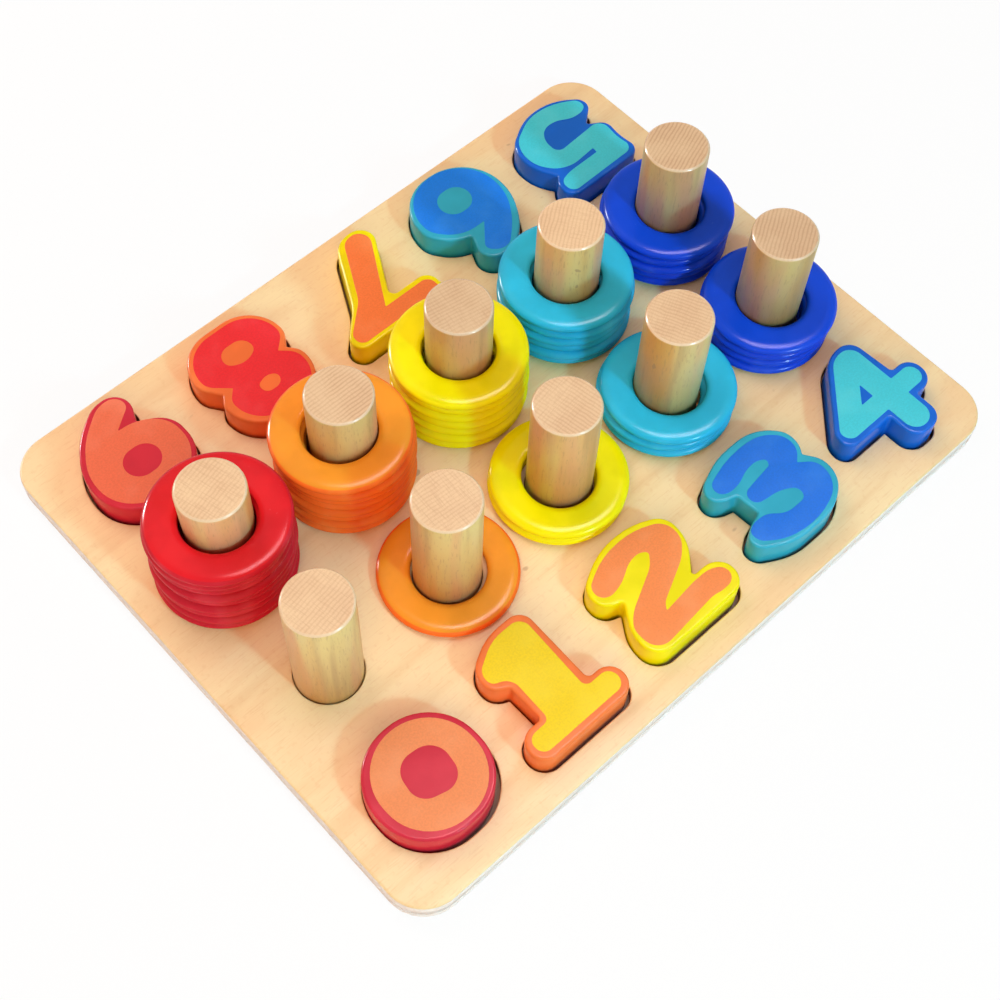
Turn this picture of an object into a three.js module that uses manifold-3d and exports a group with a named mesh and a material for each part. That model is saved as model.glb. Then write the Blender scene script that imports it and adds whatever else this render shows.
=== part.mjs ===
// Wooden counting stacker: ten number tiles sit in pockets of a board, and behind each tile
// stands a peg that carries as many rings as the number says, from none to nine.
// Millimetres, +Z up. The origin is in the middle of the board's underside. +X runs along the
// long side, from the zero to the four, and +Y from the front row of numbers to the back row,
// whose tiles are turned half a turn so that they read from the other side.

import * as THREE from "three";
import { mergeVertices } from "three/addons/utils/BufferGeometryUtils.js";
import Module from "manifold-3d";

const wasm = await Module();
wasm.setup();

// Rings
const ringDiameter = 53;
const ringBorePlay = 3.1;
const ringThickness = 4.3;
const ringEdge = 1;
const ringPlay = 0.1;

// Pegs
const pegDiameter = 25.4;
const pegRise = 56.5;
const pegChamfer = 1.2;
const pegHolePlay = 0.3;

// Number tiles
const digitSize = 50;
const digitRise = 10;
const digitEdge = 1.6;
const pocketPlay = 0.7;

// Board: a thin base panel under a thicker panel with the pockets and the peg holes
const basePanelThickness = 4;
const pocketPanelThickness = 6;
const boardCornerRadius = 16;
const boardEdge = 1.6;

// Spacing
const stackSpacing = 3.5;
const digitSpacing = 5.25;
const sideMargin = 10.5;
const endMargin = 9;

// Cuts run past the faces that they cut by this much.
const overrun = 2;

// Facets
const ringSides = 18;
const pegSides = 20;
const boardEdgeSteps = 2;
const digitEdgeSteps = 1;
const arcStep = THREE.MathUtils.degToRad(24);
const samePoint = 0.05;

// What follows from the sizes above
const ringBore = pegDiameter + ringBorePlay;
const ringShiftReach = ringBorePlay / 2;
const ringPitch = ringThickness + ringPlay;
const pitch = ringDiameter + stackSpacing;
const pegRowY = pitch / 2;
const digitRowY = pegRowY + ringDiameter / 2 + digitSpacing + digitSize / 2;
const boardTop = basePanelThickness + pocketPanelThickness;

// Each row's counts, from -X to +X. side is -1 in front and 1 at the back.
const rows = [
  { side: -1, counts: [0, 1, 2, 3, 4] },
  { side: 1, counts: [9, 8, 7, 6, 5] },
];
const columns = rows[0].counts.length;
const boardLength = (columns - 1) * pitch + ringDiameter + 2 * sideMargin;
const boardDepth = 2 * (digitRowY + digitSize / 2 + endMargin);

const countWords = ["zero", "one", "two", "three", "four", "five", "six", "seven", "eight", "nine"];

// In the three tallest stacks the lowest rings are one grooved piece of this many rings.
const joinedRings = { seven: 3, eight: 3, nine: 4 };

// Where each stack's top ring lies off its peg's centre, as shares of the room round the peg,
// and the shares that the rings below it take in turn.
const topRingShiftShares = {
  one: [0.36, 0.05],
  two: [-0.1, 0.05],
  three: [0.42, -0.44],
  four: [0.4, -0.46],
  five: [0.44, -0.42],
  six: [-0.1, 0.06],
  seven: [-0.06, -0.04],
  eight: [-0.6, 0.04],
  nine: [-0.16, -0.58],
};
const lowerRingShiftShares = [
  [0.3, 0.1], [-0.25, -0.3], [0.05, 0.35], [-0.4, 0.1], [0.2, -0.35], [-0.1, 0.15], [0.4, 0.2],
];

// Outlines of the tiles, counter-clockwise, as polygons whose corners are rounded: each corner is
// [x, y, radius], in shares of the tile's nominal size, seen upright from above.
const digitCornerShares = {
  zero: [
    [0.41, 0.475, 0.43], [-0.475, 0.475, 0.44], [-0.475, -0.42, 0.43], [0.41, -0.42, 0.41],
  ],
  one: [
    [0.347, -0.463, 0.14], [0.347, -0.191, 0.14], [0.13, -0.191, 0.045], [0.149, 0.515, 0.12],
    [-0.195, 0.515, 0.14], [-0.468, 0.37, 0.09], [-0.46, 0.175, 0.09], [-0.325, 0.115, 0.035],
    [-0.322, -0.196, 0.035], [-0.554, -0.196, 0.14], [-0.554, -0.463, 0.14],
  ],
  two: [
    [0.389, -0.432, 0.15], [0.389, -0.22, 0.1], [0.3, -0.133, 0.14], [0.11, -0.132, 0.02],
    [0.32, 0.11, 0.18], [0.32, 0.35, 0.12], [0.08, 0.473, 0.25], [-0.26, 0.473, 0.25],
    [-0.563, 0.31, 0.09], [-0.563, 0.11, 0.11], [-0.395, 0.06, 0.03], [-0.546, -0.16, 0.18],
    [-0.546, -0.432, 0.16],
  ],
  three: [
    [0.426, -0.28, 0.15], [0.426, -0.095, 0.12], [0.345, 0.025, 0.015], [0.4, 0.11, 0.08],
    [0.4, 0.24, 0.12], [0.28, 0.38, 0.15], [0.12, 0.436, 0.2], [-0.18, 0.436, 0.25],
    [-0.466, 0.315, 0.08], [-0.466, 0.19, 0.07], [-0.4, 0.135, 0.1], [-0.293, 0.103, 0.03],
    [-0.28, -0.1, 0.025], [-0.39, -0.13, 0.1], [-0.5, -0.2, 0.06], [-0.5, -0.31, 0.1],
    [-0.24, -0.455, 0.2], [0.2, -0.455, 0.25],
  ],
  four: [
    [0.284, -0.477, 0.13], [0.284, -0.203, 0.025], [0.498, -0.203, 0.13], [0.498, 0.065, 0.125],
    [0.295, 0.065, 0.035], [0.268, 0.485, 0.13], [0.005, 0.485, 0.16], [-0.49, -0.04, 0.1],
    [-0.49, -0.202, 0.095], [-0.039, -0.202, 0.025], [-0.039, -0.477, 0.13],
  ],
  five: [
    [0.415, -0.18, 0.16], [0.415, 0.025, 0.2], [0.31, 0.203, 0.015], [0.38, 0.285, 0.06],
    [0.38, 0.456, 0.11], [-0.423, 0.456, 0.1], [-0.39, 0.22, 0.2], [-0.422, 0.05, 0.06],
    [-0.263, -0.045, 0.02], [-0.429, -0.18, 0.06], [-0.429, -0.275, 0.09], [-0.22, -0.439, 0.25],
    [0.1, -0.439, 0.3], [0.34, -0.295, 0.15],
  ],
  six: [
    [0.416, -0.5, 0.395], [0.416, -0.04, 0.16], [0.285, 0.145, 0.14], [0.133, 0.197, 0.02],
    [0.203, 0.36, 0.065], [0.145, 0.493, 0.12], [-0.09, 0.493, 0.15], [-0.28, 0.335, 0.35],
    [-0.43, 0.06, 0.35], [-0.43, -0.5, 0.41],
  ],
  seven: [
    [0.41, 0.465, 0.1], [-0.505, 0.465, 0.09], [-0.505, 0.212, 0.11], [-0.103, 0.212, 0.05],
    [-0.413, -0.37, 0.1], [-0.365, -0.49, 0.1], [-0.155, -0.49, 0.12], [0.185, 0.095, 0.18],
    [0.41, 0.315, 0.09],
  ],
  eight: [
    [0.42, -0.478, 0.33], [0.42, -0.08, 0.16], [0.32, 0.06, 0.015], [0.378, 0.145, 0.12],
    [0.378, 0.52, 0.325], [-0.4, 0.52, 0.33], [-0.4, 0.12, 0.14], [-0.325, 0.03, 0.015],
    [-0.41, -0.09, 0.16], [-0.41, -0.478, 0.32],
  ],
  nine: [
    [0.412, -0.03, 0.3], [0.412, 0.49, 0.37], [-0.42, 0.49, 0.37], [-0.42, -0.02, 0.18],
    [-0.32, -0.125, 0.25], [-0.185, -0.195, 0.02], [-0.247, -0.33, 0.12], [-0.247, -0.516, 0.15],
    [-0.01, -0.516, 0.14], [0.24, -0.325, 0.3],
  ],
};

// Finishes

function bareWood(color) {
  return new THREE.MeshStandardMaterial({ color, roughness: 0.7, metalness: 0, flatShading: true });
}

function glossPaint(color) {
  return new THREE.MeshStandardMaterial({ color, roughness: 0.25, metalness: 0, flatShading: true });
}

const finishes = {
  board: bareWood(0xefd2a4),
  peg: bareWood(0xe0bd98),
  crimson: glossPaint(0xc9203c),
  red: glossPaint(0xe01b28),
  orange: glossPaint(0xf78320),
  yellow: glossPaint(0xf9e600),
  cyan: glossPaint(0x2bb0d8),
  blue: glossPaint(0x143cc8),
};
const digitPaints = {
  zero: "crimson", one: "orange", two: "yellow", three: "cyan", four: "blue",
  five: "blue", six: "cyan", seven: "yellow", eight: "orange", nine: "crimson",
};
const ringPaints = { ...digitPaints, nine: "red" };

// Outline helpers

// Moves one corner of a polygon outwards by grow, square to both of its sides.
function growCorner(before, corner, after, grow) {
  const arriving = corner.point.clone().sub(before.point).normalize();
  const leaving = after.point.clone().sub(corner.point).normalize();
  const mitre = new THREE.Vector2(arriving.y + leaving.y, -arriving.x - leaving.x);
  mitre.multiplyScalar(grow / (1 + arriving.dot(leaving)));
  const side = Math.sign(arriving.cross(leaving));
  return {
    point: corner.point.clone().add(mitre),
    radius: Math.max(corner.radius + side * grow, 0),
    arriving,
    side,
    turn: Math.acos(THREE.MathUtils.clamp(arriving.dot(leaving), -1, 1)),
  };
}

// The share of its rounding that a corner can keep beside its neighbour this far away.
function roomShare(distance, reachHere, reachThere) {
  const needed = reachHere + reachThere;
  return needed > distance ? distance / needed : 1;
}

// The points of a counter-clockwise polygon with rounded corners, grown outwards by grow.
function roundedOutline(corners, grow = 0) {
  const count = corners.length;
  const grown = corners.map((corner, i) =>
    growCorner(corners[(i + count - 1) % count], corner, corners[(i + 1) % count], grow),
  );
  const reaches = grown.map(({ radius, turn }) => radius * Math.tan(turn / 2));
  const points = [];
  grown.forEach(({ point, arriving, side, turn }, i) => {
    const last = (i + count - 1) % count;
    const next = (i + 1) % count;
    const room = Math.min(
      roomShare(point.distanceTo(grown[last].point), reaches[i], reaches[last]),
      roomShare(point.distanceTo(grown[next].point), reaches[i], reaches[next]),
    );
    const reach = reaches[i] * room;
    const radius = reach / Math.tan(turn / 2);
    const start = point.clone().addScaledVector(arriving, -reach);
    const inward = new THREE.Vector2(-arriving.y, arriving.x).multiplyScalar(side * radius);
    const centre = start.clone().add(inward);
    const steps = Math.ceil(turn / arcStep);
    for (let step = 0; step <= steps; step++) {
      const onArc = start.clone().rotateAround(centre, (side * turn * step) / steps);
      if (!points.length || onArc.distanceTo(points.at(-1)) > samePoint) points.push(onArc);
    }
  });
  return points;
}

function digitOutline(word, grow = 0) {
  const corners = digitCornerShares[word].map(([x, y, radius]) => ({
    point: new THREE.Vector2(x, y).multiplyScalar(digitSize),
    radius: radius * digitSize,
  }));
  return roundedOutline(corners, grow);
}

function boardOutline() {
  const halfLength = boardLength / 2;
  const halfDepth = boardDepth / 2;
  const places = [
    [halfLength, -halfDepth], [halfLength, halfDepth], [-halfLength, halfDepth], [-halfLength, -halfDepth],
  ];
  return roundedOutline(
    places.map(([x, y]) => ({ point: new THREE.Vector2(x, y), radius: boardCornerRadius })),
  );
}

// Solid helpers

// One closed surface: positions alone, with shared corners merged and collapsed triangles left out.
function closedSurface(geometry) {
  const bare = geometry.clone();
  bare.deleteAttribute("normal");
  bare.deleteAttribute("uv");
  const merged = mergeVertices(bare);
  const corners = merged.index.array;
  const kept = [];
  for (let i = 0; i < corners.length; i += 3) {
    const [a, b, c] = corners.subarray(i, i + 3);
    if (a !== b && b !== c && c !== a) kept.push(a, b, c);
  }
  return merged.setIndex(kept);
}

function solidFrom(geometry, place = new THREE.Matrix4()) {
  const surface = closedSurface(geometry.clone().applyMatrix4(place));
  return new wasm.Manifold(
    new wasm.Mesh({
      numProp: 3,
      vertProperties: surface.attributes.position.array,
      triVerts: new Uint32Array(surface.index.array),
    }),
  );
}

function geometryFrom(solid) {
  const { vertProperties, triVerts } = solid.getMesh();
  return new THREE.BufferGeometry()
    .setAttribute("position", new THREE.BufferAttribute(vertProperties, 3))
    .setIndex(new THREE.BufferAttribute(triVerts, 1));
}

// A plate between two heights, whose outer edges are rounded over by edge.
function roundedPlate(outline, thickness, edge, steps) {
  const plate = new THREE.ExtrudeGeometry(new THREE.Shape(outline), {
    depth: thickness - 2 * edge,
    bevelEnabled: true,
    bevelThickness: edge,
    bevelSize: edge,
    bevelOffset: -edge,
    bevelSegments: steps,
  });
  return plate.translate(0, 0, edge);
}

function straightPlate(outline, bottom, top) {
  const plate = new THREE.ExtrudeGeometry(new THREE.Shape(outline), {
    depth: top - bottom,
    bevelEnabled: false,
  });
  return plate.translate(0, 0, bottom);
}

function turned(profile, sides) {
  const points = profile.map(([radius, height]) => new THREE.Vector2(radius, height));
  return new THREE.LatheGeometry(points, sides).rotateX(Math.PI / 2);
}

function namedMesh(name, geometry, material) {
  const mesh = new THREE.Mesh(geometry, material);
  mesh.name = name;
  return mesh;
}

// Sub-parts

// Each peg's and tile's place, and the half turn of the back row.
function stationPlaces() {
  return rows.flatMap(({ side, counts }) =>
    counts.map((count, column) => ({
      count,
      word: countWords[count],
      x: (column - (columns - 1) / 2) * pitch,
      pegY: side * pegRowY,
      digitY: side * digitRowY,
      turn: side > 0 ? Math.PI : 0,
    })),
  );
}

function pocketCutter({ word, x, digitY, turn }) {
  const place = new THREE.Matrix4().makeRotationZ(turn).setPosition(x, digitY, 0);
  const top = boardTop + overrun;
  return solidFrom(straightPlate(digitOutline(word, pocketPlay), basePanelThickness - overrun, top), place);
}

function pegHoleCutter({ x, pegY }) {
  const radius = pegDiameter / 2 + pegHolePlay;
  const bottom = basePanelThickness - overrun;
  const top = boardTop + overrun;
  const hole = turned([[0, bottom], [radius, bottom], [radius, top], [0, top]], pegSides);
  return solidFrom(hole, new THREE.Matrix4().makeTranslation(x, pegY, 0));
}

// The part of the whole board between two heights.
function boardLayer(bottom, top) {
  const board = solidFrom(roundedPlate(boardOutline(), boardTop, boardEdge, boardEdgeSteps));
  const layer = new THREE.BoxGeometry(boardLength + overrun, boardDepth + overrun, top - bottom);
  return board.intersect(solidFrom(layer.translate(0, 0, (bottom + top) / 2)));
}

function basePanel() {
  return namedMesh("base_panel", geometryFrom(boardLayer(-overrun, basePanelThickness)), finishes.board);
}

function pocketPanel(places) {
  let panel = boardLayer(basePanelThickness, boardTop + overrun);
  for (const place of places) {
    panel = panel.subtract(pocketCutter(place)).subtract(pegHoleCutter(place));
  }
  return namedMesh("pocket_panel", geometryFrom(panel), finishes.board);
}

function peg({ word, x, pegY }) {
  const radius = pegDiameter / 2;
  const height = pocketPanelThickness + pegRise;
  const profile = [
    [0, 0], [radius, 0], [radius, height - pegChamfer], [radius - pegChamfer, height], [0, height],
  ];
  const mesh = namedMesh(word + "_peg", closedSurface(turned(profile, pegSides)), finishes.peg);
  mesh.position.set(x, pegY, basePanelThickness);
  return mesh;
}

function digit({ word, x, digitY, turn }) {
  const thickness = pocketPanelThickness + digitRise;
  const tile = closedSurface(roundedPlate(digitOutline(word), thickness, digitEdge, digitEdgeSteps));
  const mesh = namedMesh(word + "_digit", tile, finishes[digitPaints[word]]);
  mesh.position.set(x, digitY, basePanelThickness);
  mesh.rotation.z = turn;
  return mesh;
}

// One ring, or several joined by the wood inside the grooves between them.
function ringGeometry(count) {
  const radius = ringDiameter / 2;
  const bore = ringBore / 2;
  const top = count * ringPitch - ringPlay;
  const profile = [[bore, 0]];
  for (let ring = 0; ring < count; ring++) {
    const low = ring * ringPitch;
    const high = low + ringThickness;
    profile.push([radius - ringEdge, low], [radius, low + ringEdge]);
    profile.push([radius, high - ringEdge], [radius - ringEdge, high]);
  }
  profile.push([bore, top], [bore, 0]);
  return closedSurface(turned(profile, ringSides));
}

function ringShift(word, ring, count) {
  const lower = lowerRingShiftShares[(ring + count) % lowerRingShiftShares.length];
  const [x, y] = ring === count ? topRingShiftShares[word] : lower;
  return { x: x * ringShiftReach, y: y * ringShiftReach };
}

function ringStack({ word, count, x, pegY }) {
  const stack = new THREE.Group();
  stack.position.set(x, pegY, boardTop + ringPlay);
  const joined = joinedRings[word] ?? 1;
  for (let ring = 1; ring <= count; ring += ring === 1 ? joined : 1) {
    const size = ring === 1 ? joined : 1;
    const name = size > 1 ? `${word}_stack_rings_1_to_${size}` : `${word}_stack_ring_${ring}`;
    const mesh = namedMesh(name, ringGeometry(size), finishes[ringPaints[word]]);
    const shift = ringShift(word, ring, count);
    mesh.position.set(shift.x, shift.y, (ring - 1) * ringPitch);
    stack.add(mesh);
  }
  return stack;
}

// Assembly

const stacker = new THREE.Group();
const places = stationPlaces();
stacker.add(basePanel(), pocketPanel(places));
for (const place of places) {
  stacker.add(peg(place), digit(place), ringStack(place));
}

export default stacker;
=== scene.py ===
"""The looks of a wooden counting stacker.

Ten painted number tiles lie in the pockets of a pale wooden board. Behind each tile stands a
beech peg that carries as many lacquered rings as the number says, from none to nine.
Metres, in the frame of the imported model: +Z is up and +X runs along the board's long side.
"""

import logging
import math
from dataclasses import dataclass, field
from enum import Enum, IntEnum

import bmesh
import bpy
from mathutils import Matrix, Vector
from mathutils.geometry import delaunay_2d_cdt


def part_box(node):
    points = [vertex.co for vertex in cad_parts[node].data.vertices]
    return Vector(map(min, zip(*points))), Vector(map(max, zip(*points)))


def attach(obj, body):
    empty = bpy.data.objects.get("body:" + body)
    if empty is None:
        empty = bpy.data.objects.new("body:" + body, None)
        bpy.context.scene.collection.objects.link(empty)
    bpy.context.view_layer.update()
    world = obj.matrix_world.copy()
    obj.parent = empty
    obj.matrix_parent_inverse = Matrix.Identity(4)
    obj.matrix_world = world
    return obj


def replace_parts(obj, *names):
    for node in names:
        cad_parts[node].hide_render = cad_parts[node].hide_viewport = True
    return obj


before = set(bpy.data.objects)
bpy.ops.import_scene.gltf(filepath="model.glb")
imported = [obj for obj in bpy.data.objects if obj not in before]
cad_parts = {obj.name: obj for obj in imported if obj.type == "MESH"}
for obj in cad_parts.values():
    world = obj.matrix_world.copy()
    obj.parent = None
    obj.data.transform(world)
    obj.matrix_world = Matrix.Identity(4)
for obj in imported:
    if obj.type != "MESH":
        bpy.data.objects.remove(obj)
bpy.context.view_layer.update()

log = logging.getLogger("stacker")

MM = 0.001
WHITE = 255

Rgb = tuple[int, int, int]
Triple = tuple[float, float, float]
Corners = list[Triple]

# Outlines are polygons whose corners are rounded. Each corner is (x, y, radius), as shares of a
# tile's nominal size, counter-clockwise, seen upright from above.
TILE_OUTLINE_SHARES: dict[str, Corners] = {
    "zero": [
        (0.41, 0.475, 0.43), (-0.492, 0.475, 0.44), (-0.492, -0.42, 0.42), (0.41, -0.42, 0.41),
    ],
    "one": [
        (0.347, -0.463, 0.132), (0.347, -0.194, 0.132), (0.13, -0.194, 0.045), (0.149, 0.515, 0.12),
        (-0.195, 0.515, 0.18), (-0.455, 0.375, 0.12), (-0.445, 0.17, 0.1), (-0.325, 0.12, 0.035),
        (-0.322, -0.194, 0.035), (-0.554, -0.194, 0.132), (-0.554, -0.463, 0.132),
    ],
    "two": [
        (0.389, -0.432, 0.15), (0.389, -0.22, 0.1), (0.3, -0.133, 0.14), (0.11, -0.132, 0.02),
        (0.32, 0.11, 0.18), (0.32, 0.35, 0.12), (0.08, 0.473, 0.25), (-0.26, 0.473, 0.25),
        (-0.563, 0.31, 0.09), (-0.563, 0.11, 0.11), (-0.395, 0.06, 0.03), (-0.546, -0.16, 0.18),
        (-0.546, -0.432, 0.16),
    ],
    "three": [
        (0.426, -0.28, 0.15), (0.426, -0.095, 0.12), (0.345, 0.025, 0.015), (0.4, 0.11, 0.08),
        (0.4, 0.24, 0.12), (0.28, 0.38, 0.15), (0.12, 0.436, 0.2), (-0.18, 0.436, 0.25),
        (-0.466, 0.315, 0.08), (-0.466, 0.19, 0.07), (-0.4, 0.135, 0.1), (-0.293, 0.103, 0.03),
        (-0.28, -0.1, 0.025), (-0.39, -0.13, 0.1), (-0.5, -0.2, 0.06), (-0.5, -0.31, 0.1),
        (-0.24, -0.455, 0.2), (0.2, -0.455, 0.25),
    ],
    "four": [
        (0.284, -0.477, 0.13), (0.284, -0.203, 0.025), (0.498, -0.203, 0.13), (0.498, 0.065, 0.125),
        (0.295, 0.065, 0.035), (0.268, 0.485, 0.13), (0.005, 0.485, 0.16), (-0.49, -0.04, 0.1),
        (-0.49, -0.202, 0.095), (-0.039, -0.202, 0.025), (-0.039, -0.477, 0.13),
    ],
    "five": [
        (0.415, -0.18, 0.16), (0.415, 0.025, 0.2), (0.31, 0.203, 0.015), (0.38, 0.285, 0.06),
        (0.38, 0.456, 0.11), (-0.423, 0.456, 0.1), (-0.39, 0.22, 0.2), (-0.422, 0.05, 0.06),
        (-0.263, -0.045, 0.02), (-0.429, -0.18, 0.06), (-0.429, -0.275, 0.09), (-0.22, -0.439, 0.25),
        (0.1, -0.439, 0.3), (0.34, -0.295, 0.15),
    ],
    "six": [
        (0.416, -0.5, 0.395), (0.416, -0.04, 0.16), (0.285, 0.145, 0.14), (0.133, 0.197, 0.02),
        (0.203, 0.36, 0.065), (0.145, 0.493, 0.12), (-0.09, 0.493, 0.15), (-0.28, 0.335, 0.35),
        (-0.43, 0.06, 0.35), (-0.43, -0.5, 0.41),
    ],
    "seven": [
        (0.41, 0.465, 0.1), (-0.505, 0.465, 0.09), (-0.505, 0.212, 0.11), (-0.103, 0.212, 0.05),
        (-0.425, -0.355, 0.11), (-0.36, -0.49, 0.13), (-0.122, -0.49, 0.11), (0.185, 0.095, 0.18),
        (0.41, 0.315, 0.09),
    ],
    "eight": [
        (0.42, -0.478, 0.34), (0.42, -0.08, 0.16), (0.32, 0.06, 0.015), (0.378, 0.145, 0.12),
        (0.378, 0.52, 0.34), (-0.4, 0.52, 0.34), (-0.4, 0.12, 0.14), (-0.325, 0.03, 0.015),
        (-0.41, -0.09, 0.16), (-0.41, -0.478, 0.33),
    ],
    "nine": [
        (0.42, -0.045, 0.3), (0.42, 0.49, 0.37), (-0.42, 0.49, 0.37), (-0.42, -0.02, 0.18),
        (-0.32, -0.125, 0.25), (-0.185, -0.195, 0.02), (-0.247, -0.33, 0.12), (-0.247, -0.516, 0.15),
        (-0.005, -0.516, 0.14), (0.255, -0.335, 0.3),
    ],
}

# The printed face of each tile, written the same way.
PRINT_OUTLINE_SHARES: dict[str, Corners] = {
    "zero": [
        (0.368, 0.432, 0.395), (-0.418, 0.432, 0.39), (-0.418, -0.374, 0.38), (0.368, -0.374, 0.38),
    ],
    "one": [
        (0.295, -0.403, 0.083), (0.295, -0.234, 0.083), (0.066, -0.234, 0.055), (0.102, 0.466, 0.095),
        (-0.185, 0.466, 0.14), (-0.418, 0.33, 0.09), (-0.41, 0.215, 0.06), (-0.272, 0.165, 0.05),
        (-0.288, -0.238, 0.055), (-0.5, -0.242, 0.078), (-0.5, -0.403, 0.078),
    ],
    "two": [
        (0.338, -0.23, 0.06), (0.24, -0.172, 0.12), (0.08, -0.172, 0.2), (-0.225, -0.203, 0.006),
        (-0.18, -0.145, 0.05), (0.16, 0.02, 0.14), (0.284, 0.14, 0.1), (0.284, 0.315, 0.13),
        (0.06, 0.42, 0.25), (-0.27, 0.42, 0.25), (-0.515, 0.29, 0.08), (-0.515, 0.185, 0.07),
        (-0.44, 0.143, 0.09), (-0.31, 0.165, 0.14), (-0.15, 0.256, 0.12), (-0.04, 0.26, 0.08),
        (0.015, 0.215, 0.025), (-0.06, 0.125, 0.1), (-0.42, -0.055, 0.16), (-0.506, -0.15, 0.1),
        (-0.506, -0.384, 0.13), (-0.36, -0.384, 0.14), (0.11, -0.342, 0.12), (0.2, -0.362, 0.1),
        (0.3, -0.355, 0.06), (0.338, -0.3, 0.05),
    ],
    "three": [
        (0.372, -0.24, 0.12), (0.372, -0.09, 0.1), (0.255, 0.0, 0.006), (0.355, 0.085, 0.08),
        (0.355, 0.225, 0.12), (0.24, 0.345, 0.18), (0.1, 0.374, 0.3), (-0.14, 0.374, 0.35),
        (-0.388, 0.295, 0.08), (-0.388, 0.2, 0.07), (-0.32, 0.16, 0.08), (-0.21, 0.16, 0.12),
        (-0.08, 0.215, 0.15), (0.04, 0.215, 0.08), (0.105, 0.17, 0.03), (0.075, 0.123, 0.03),
        (-0.12, 0.098, 0.2), (-0.245, 0.08, 0.07), (-0.245, -0.04, 0.07), (-0.14, -0.06, 0.12),
        (-0.02, -0.07, 0.15), (0.095, -0.145, 0.08), (0.095, -0.245, 0.07), (-0.13, -0.245, 0.08),
        (-0.24, -0.14, 0.12), (-0.38, -0.135, 0.1), (-0.45, -0.175, 0.05), (-0.45, -0.265, 0.06),
        (-0.3, -0.38, 0.18), (-0.12, -0.422, 0.25), (0.08, -0.422, 0.25), (0.27, -0.355, 0.15),
    ],
    "four": [
        (0.235, -0.43, 0.115), (0.235, -0.153, 0.01), (0.45, -0.153, 0.083), (0.45, 0.015, 0.083),
        (0.23, 0.018, 0.01), (0.225, 0.44, 0.11), (0.02, 0.44, 0.12), (-0.44, -0.045, 0.07),
        (-0.44, -0.153, 0.08), (0.003, -0.153, 0.01), (0.003, -0.43, 0.115),
    ],
    "five": [
        (0.376, -0.17, 0.14), (0.376, 0.0, 0.16), (0.27, 0.16, 0.14), (0.12, 0.206, 0.16),
        (-0.116, 0.186, 0.006), (-0.11, 0.237, 0.006), (0.22, 0.24, 0.16), (0.336, 0.275, 0.05),
        (0.336, 0.418, 0.075), (-0.384, 0.403, 0.08), (-0.356, 0.24, 0.18), (-0.388, -0.003, 0.09),
        (0.139, 0.032, 0.07), (0.139, -0.14, 0.08), (0.05, -0.239, 0.1), (-0.09, -0.239, 0.09),
        (-0.21, -0.163, 0.1), (-0.33, -0.163, 0.08), (-0.389, -0.2, 0.05), (-0.389, -0.28, 0.07),
        (-0.18, -0.407, 0.22), (0.08, -0.407, 0.26), (0.3, -0.29, 0.14),
    ],
    "six": [
        (0.368, -0.484, 0.36), (0.368, -0.05, 0.16), (0.24, 0.1, 0.16), (0.1, 0.148, 0.2),
        (-0.043, 0.148, 0.006), (0.12, 0.335, 0.05), (0.12, 0.385, 0.06), (0.045, 0.453, 0.07),
        (-0.05, 0.453, 0.09), (-0.235, 0.285, 0.3), (-0.388, 0.04, 0.34), (-0.388, -0.484, 0.37),
    ],
    "seven": [
        (0.366, 0.42, 0.07), (-0.465, 0.42, 0.06), (-0.465, 0.262, 0.08), (-0.015, 0.262, 0.006),
        (-0.375, -0.345, 0.07), (-0.32, -0.45, 0.08), (-0.18, -0.453, 0.06), (0.11, 0.08, 0.12),
        (0.366, 0.305, 0.07),
    ],
    "eight": [
        (0.373, -0.435, 0.3), (0.373, -0.075, 0.14), (0.223, 0.063, 0.006), (0.306, 0.15, 0.1),
        (0.306, 0.478, 0.28), (-0.36, 0.478, 0.28), (-0.36, 0.125, 0.12), (-0.253, 0.022, 0.006),
        (-0.373, -0.09, 0.14), (-0.373, -0.435, 0.3),
    ],
    "nine": [
        (0.376, -0.03, 0.24), (0.376, 0.45, 0.34), (-0.386, 0.45, 0.34), (-0.386, -0.02, 0.18),
        (-0.28, -0.14, 0.22), (-0.14, -0.207, 0.2), (-0.023, -0.208, 0.006), (-0.215, -0.345, 0.06),
        (-0.205, -0.483, 0.1), (-0.03, -0.483, 0.09), (0.225, -0.288, 0.28),
    ],
}

# The places inside a printed face where the tile's own paint shows through. An oval is four
# corners whose roundings meet.
PRINT_GAP_SHARES: dict[str, list[Corners]] = {
    "zero": [[(0.182, 0.2, 0.16), (-0.175, 0.235, 0.15), (-0.225, -0.09, 0.14), (0.13, -0.188, 0.14)]],
    "four": [[(0.003, 0.145, 0.005), (-0.125, 0.008, 0.005), (0.003, 0.008, 0.005)]],
    "six": [[(0.146, -0.037, 0.14), (-0.15, -0.037, 0.14), (-0.15, -0.297, 0.14), (0.146, -0.297, 0.14)]],
    "eight": [
        [(0.066, 0.17, 0.05), (0.055, 0.27, 0.06), (-0.085, 0.276, 0.08), (-0.125, 0.185, 0.05),
         (-0.045, 0.134, 0.06)],
        [(0.13, -0.265, 0.12), (0.13, -0.12, 0.09), (0.0, -0.045, 0.1), (-0.135, -0.115, 0.09),
         (-0.135, -0.265, 0.12)],
    ],
    "nine": [[(0.134, 0.244, 0.14), (-0.166, 0.244, 0.14), (-0.166, -0.016, 0.14), (0.134, -0.016, 0.14)]],
}

WORDS = list(TILE_OUTLINE_SHARES)

# How each peg's wood differs from the others': which way its growth lines run, in degrees, how
# bright it is, and how strong the lines are.
PEG_WOOD: dict[str, tuple[float, float, float]] = {
    "zero": (80, 1.0, 0.7), "one": (95, 1.0, 0.6), "two": (-10, 0.98, 0.8),
    "three": (-25, 0.97, 0.8), "four": (60, 0.92, 1.25), "five": (70, 0.93, 1.25),
    "six": (55, 1.0, 0.9), "seven": (100, 0.93, 0.8), "eight": (90, 0.96, 1.2),
    "nine": (75, 1.0, 0.65),
}


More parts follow.
